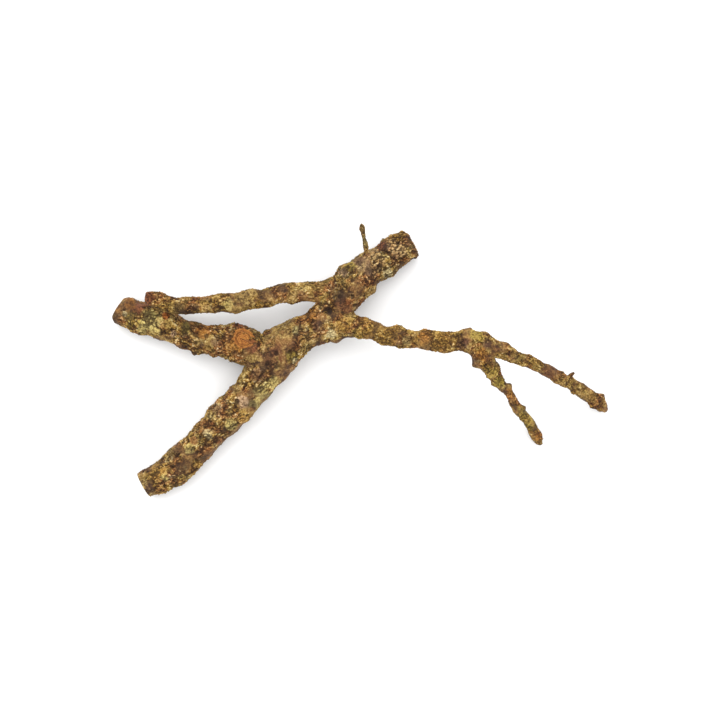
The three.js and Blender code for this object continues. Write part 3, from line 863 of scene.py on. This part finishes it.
def weighted_sum(tree, parts, start=0.0):
    """A start value plus each socket times its weight."""
    total = start
    for value, weight in parts:
        total = arithmetic(tree, "MULTIPLY_ADD", value, weight, total)
    return total


def between(tree, value, low, high):
    """0 below low, 1 above high, smooth between them."""
    settings = {"interpolation_type": "SMOOTHSTEP"}
    made = add_node(tree, "ShaderNodeMapRange", settings, Value=value, From_Min=low, From_Max=high)
    return made.outputs["Result"]


def new_group(name, inputs, outputs):
    """An empty node group. Gives the group, what it takes in and its output node."""
    group = bpy.data.node_groups.new(name, "ShaderNodeTree")
    for way, sockets in (("INPUT", inputs), ("OUTPUT", outputs)):
        for socket, kind in sockets:
            group.interface.new_socket(socket, in_out=way, socket_type=kind)
    return group, group.nodes.new("NodeGroupInput").outputs, group.nodes.new("NodeGroupOutput")


# Bark and lichen colours from their darkest grains to their palest
GOLD_BARK = [
    (0.1, "321c09"), (0.3, "5f4217"), (0.5, "88662a"), (0.66, "a88440"), (0.82, "c5a664"), (1.0, "e3d2a2"),
]
RED_BROWN_BARK = [
    (0.1, "32190b"), (0.3, "603a1c"), (0.5, "86562c"), (0.66, "a3713e"), (0.82, "bf945e"), (1.0, "dcc498"),
]
YOUNG_BARK = [(0.15, "432b19"), (0.4, "674726"), (0.6, "845f34"), (0.85, "a38045")]
LICHEN = [(0.1, "3c2b10"), (0.32, "6b5526"), (0.52, "937940"), (0.72, "b69c5c"), (0.95, "dcca92")]
STAIN_SHADES = [(0.1, "7d6f62"), (0.45, "dfd8cd"), (0.8, "ffffff")]
SAWN_WOOD_TONES = [(0.3, "6b5034"), (0.5, "98774c"), (0.7, "b39263")]
KNOT_WOOD_TONES = [(0.3, "70401a"), (0.5, "955c27"), (0.7, "a97434")]
# Painted shade for the cracks, hollows and groove of the end faces
CRACK_SHADE = (*linear("3a2110"), 1)
# Painted shade for the bark's crevices and for its underside
PAINTED_SHADE = (*linear("1f1108"), 1)

# Lengths of the colour noises
REGION_SIZE = 22 * MM
BLOTCH_SIZE = 10 * MM
FINE_SIZE = 2.2 * MM
SPECK_SIZE = 0.9 * MM
RING_WANDER = 5 * MM
WOOD_BLOTCH = 3 * MM
WOOD_FIBRE = 1.2 * MM

FLOAT = "NodeSocketFloat"
COLOUR = "NodeSocketColor"
VECTOR = "NodeSocketVector"
# The group's inputs that come from masks on the points
MASKS = ("Crevice", "Lichen", "Tone", "Smooth bark", "Underside")


def grown_bark_group():
    """Grains of many browns, in olive gold regions and red brown ones. Over them lie lichen crust,
    smooth young bark and stains, a few of them painted shade. Painted shade darkens the crevices and the
    underside."""
    group, take, give = new_group(
        "grown bark",
        [("Place", VECTOR), ("Stain", COLOUR), ("Stain amount", FLOAT)] + [(mask, FLOAT) for mask in MASKS],
        [("Color", COLOUR), ("Roughness", FLOAT), ("Height", FLOAT)],
    )
    place = take["Place"]
    blotch = between(group, noise_value(group, place, BLOTCH_SIZE, 4.0, 0.6), 0.3, 0.7)
    fine = between(group, noise_value(group, place, FINE_SIZE, 3.0, 0.65), 0.3, 0.7)
    speck = noise_value(group, place, SPECK_SIZE, 3.0, 0.6)
    region = between(group, noise_value(group, place, REGION_SIZE, 5.0, 0.65), 0.42, 0.58)
    shade = weighted_sum(group, [(take["Tone"], 0.4), (fine, 0.56), (blotch, 0.42)], -0.17)
    gold = colour_steps(group, shade, GOLD_BARK)
    brown = colour_steps(group, shade, RED_BROWN_BARK)
    bark = mixed(group, region, gold, brown)
    young_shade = weighted_sum(group, [(blotch, 0.5), (fine, 0.25), (take["Tone"], 0.1)], 0.08)
    crust_shade = weighted_sum(group, [(take["Tone"], 0.45), (fine, 0.4), (blotch, 0.2)], -0.05)
    stain_shade = weighted_sum(group, [(take["Tone"], 0.45), (fine, 0.55)])
    stain_and_shade = mixed(group, 1.0, take["Stain"], colour_steps(group, stain_shade, STAIN_SHADES), "MULTIPLY")
    for mask, most, cover in (
        ("Smooth bark", 0.8, colour_steps(group, young_shade, YOUNG_BARK)),
        ("Lichen", 0.65, colour_steps(group, crust_shade, LICHEN)),
        ("Stain amount", 0.9, stain_and_shade),
        # painted shade in the bark's crevices and on its underside
        ("Crevice", 0.85, PAINTED_SHADE),
        ("Underside", 0.5, PAINTED_SHADE),
    ):
        bark = mixed(group, arithmetic(group, "MULTIPLY", take[mask], most), bark, cover)
    roughness = weighted_sum(group, [(take["Smooth bark"], -0.22)], 0.92)
    height = weighted_sum(group, [(fine, 0.5), (speck, 0.5)])
    feed(group, give, Color=bark, Roughness=roughness, Height=height)
    return group


def attribute(tree, name, output="Fac"):
    """What an attribute of the piece's points holds."""
    return add_node(tree, "ShaderNodeAttribute", {"attribute_name": name}).outputs[output]


def surface_material(name, shine=0.25):
    """A material with a Principled shader. Gives the material, its tree and the shader."""
    material = bpy.data.materials.new(name)
    material.use_nodes = True
    tree = material.node_tree
    shader = tree.nodes["Principled BSDF"]
    shader.inputs["Specular IOR Level"].default_value = shine
    return material, tree, shader


def bump(tree, strength, distance, height):
    """The normals of a fine relief."""
    made = add_node(tree, "ShaderNodeBump", Strength=strength, Distance=distance, Height=height)
    return made.outputs["Normal"]


def bark_material(name, group, relief):
    """Bark: the grown-bark group fed by the masks of the piece's points."""
    material, tree, shader = surface_material(name)
    place = add_node(tree, "ShaderNodeTexCoord").outputs["Object"]
    bark = add_node(tree, "ShaderNodeGroup", {"node_tree": group}, Place=place)
    feed(tree, bark, Stain=attribute(tree, "stain_and_shade", "Color"), Stain_amount=attribute(tree, "stain_and_shade", "Alpha"))
    for mask in MASKS:
        connect(tree, bark.inputs[mask], attribute(tree, mask.lower().replace(" ", "_")))
    normal = bump(tree, 0.8, relief, bark.outputs["Height"])
    feed(tree, shader, Base_Color=bark.outputs["Color"], Roughness=bark.outputs["Roughness"], Normal=normal)
    return material


def wood_material(name, colours, ring_spacing):
    """Sawn wood: growth rings round the heart, made uneven by noise, and painted shade in the cracks, groove
    and hollows.
    """
    material, tree, shader = surface_material(name)
    place = add_node(tree, "ShaderNodeTexCoord").outputs["Object"]
    uneven = noise_value(tree, place, RING_WANDER, 3.0)
    distance = weighted_sum(tree, [(attribute(tree, "heart_distance"), 1 / ring_spacing), (uneven, 1.2)])
    rings = arithmetic(tree, "SINE", arithmetic(tree, "MULTIPLY", distance, 2 * np.pi))
    blotch = noise_value(tree, place, WOOD_BLOTCH, 4.0)
    wood = colour_steps(tree, weighted_sum(tree, [(rings, 0.12), (blotch, 1.0)]), colours)
    # painted shade in the cracks, hollows and groove
    wood = mixed(tree, attribute(tree, "crevice"), wood, CRACK_SHADE)
    normal = bump(tree, 0.6, 0.3 * MM, noise_value(tree, place, WOOD_FIBRE, 3.0))
    feed(tree, shader, Base_Color=wood, Roughness=0.8, Normal=normal)
    return material


def floor_material():
    """A plain, pale, dull floor."""
    material, tree, shader = surface_material("pale floor", shine=0.0)
    feed(tree, shader, Base_Color=(FLOOR_WHITE, FLOOR_WHITE, FLOOR_WHITE, 1), Roughness=0.95)
    return material


def make_floor():
    """A wide round floor, one flat face at the height that the branch rests on."""
    sides = 64
    angle = 2 * np.pi * np.arange(sides) / sides
    rim = FLOOR_RADIUS * np.stack([np.cos(angle), np.sin(angle), np.zeros(sides)], axis=1)
    mesh = bpy.data.meshes.new("floor")
    mesh.from_pydata(rim.tolist(), [], [list(range(sides))])
    mesh.materials.append(floor_material())
    floor = new_object("floor", mesh)


def make_camera():
    """Straight above the branch, with the photograph's top edge towards +Y."""
    camera = new_object("camera", bpy.data.cameras.new("camera"))
    camera.data.sensor_width = SENSOR_WIDTH
    camera.data.lens = SENSOR_WIDTH * CAMERA_DISTANCE / VIEW_WIDTH
    camera.location = (0, 0, CAMERA_HEIGHT)
    bpy.context.scene.camera = camera


def make_light():
    """A broad soft lamp from the photograph's top edge, and an even white surround. The camera
    sees the surround as bright as the floor, so the horizon doesn't show."""
    lamp = bpy.data.lights.new("soft lamp", "SUN")
    lamp.energy = LAMP_STRENGTH
    lamp.angle = np.radians(LAMP_SPREAD)
    new_object("soft lamp", lamp).rotation_euler = (*np.radians(LAMP_TILT), 0)
    world = bpy.data.worlds.new("surround")
    bpy.context.scene.world = world
    world.use_nodes = True
    tree = world.node_tree
    seen = add_node(tree, "ShaderNodeLightPath").outputs["Is Camera Ray"]
    brightness = {"To_Min": SURROUND_STRENGTH, "To_Max": HORIZON_STRENGTH}
    strength = add_node(tree, "ShaderNodeMapRange", Value=seen, **brightness)
    feed(tree, tree.nodes["Background"], Color=(1, 1, 1, 1), Strength=strength.outputs["Result"])


# The picture
bpy.context.scene.view_settings.view_transform = "Standard"
make_camera()
make_light()
make_floor()

# The limbs
thick = Limb(THICK_LIMB, LIMB_LUMPS, step=0.83 * MM, grain=1.0, seed=11, ends=("sawn", "broken"),
             cuts=([LOWER_CUT], [TOP_CUT]), joint=LOWER_JOINT, chipped=True)
left = Limb(LEFT_LIMB, LEFT_LIMB_LUMPS, step=0.66 * MM, grain=1.0, seed=23, ends=("joint", "sawn"),
            cuts=([], [LEFT_CUT, LEFT_CORNER_CUT]), joint=LEFT_JOINT)
knot = Limb(SAWN_KNOT, NO_LUMPS, step=0.6 * MM, grain=0.8, seed=31, ends=("joint", "knot"))
upper = Limb(UPPER_BRANCH, UPPER_BRANCH_LUMPS, step=0.65 * MM, grain=0.8, seed=37,
             ends=("joint", "broken"), joint=UPPER_JOINT)
right = Limb(RIGHT_BRANCH, RIGHT_BRANCH_LUMPS, step=0.65 * MM, grain=0.8, seed=41, joint=RIGHT_JOINT)
long_twig = Limb(LONG_TWIG, LONG_TWIG_LUMPS, step=0.5 * MM, grain=0.65, seed=43, joint=LONG_TWIG_JOINT)
spurlet = Limb(TWIG_SPURLET, NO_LUMPS, step=0.4 * MM, grain=0.5, seed=47)
short_twig = Limb(SHORT_TWIG, SHORT_TWIG_LUMPS, step=0.5 * MM, grain=0.65, seed=53, joint=SHORT_TWIG_JOINT)
spur = Limb(SPUR, NO_LUMPS, step=0.4 * MM, grain=0.5, seed=59, joint=SPUR_JOINT)
for parent, child in (
    (thick, left), (thick, upper), (thick, right), (thick, spur), (left, knot),
    (right, long_twig), (right, short_twig), (long_twig, short_twig), (long_twig, spurlet),
):
    join(parent, child)
for limb in (thick, left, knot, upper, right, long_twig, spurlet, short_twig, spur):
    limb.grow()

# The pieces, split where the frame's nodes are
shells = {
    "stem": [
        *past_joint(thick),
        *(limb_root(limb, thick) for limb in (left, upper, right, spur)),
        *(lichen_flakes(limb, UNBROKEN_ROOT, limb.split) for limb in (upper, right)),
    ],
    "lower_limb": [tube(thick, None, thick.split), lichen_flakes(thick, 0, thick.split)],
    "left_limb": [*past_joint(left), limb_root(knot, left, KNOT_WOOD)],
    "upper_branch": past_joint(upper),
    "right_branch": [
        *past_joint(right), tube(long_twig, 0, long_twig.split), limb_root(short_twig, long_twig),
    ],
    "long_twig": [*past_joint(long_twig), limb_root(spurlet, long_twig)],
    "short_twig": past_joint(short_twig),
    "spur": [tube(spur, spur.split)],
}
group = grown_bark_group()
bark = bark_material("lichen bark", group, relief=0.5 * MM)
twig_bark = bark_material("twig bark", group, relief=0.35 * MM)
sawn_wood = wood_material("sawn wood", SAWN_WOOD_TONES, RING_SPACING)
knot_wood = wood_material("knot wood", KNOT_WOOD_TONES, KNOT_RING_SPACING)
for node, parts in shells.items():
    is_twig = node in ("long_twig", "short_twig", "spur")
    materials = [twig_bark if is_twig else bark, sawn_wood, knot_wood]
    piece = mesh_object(node + "_bark", put_together(parts), materials)
    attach(piece, "root")
    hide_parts(node)
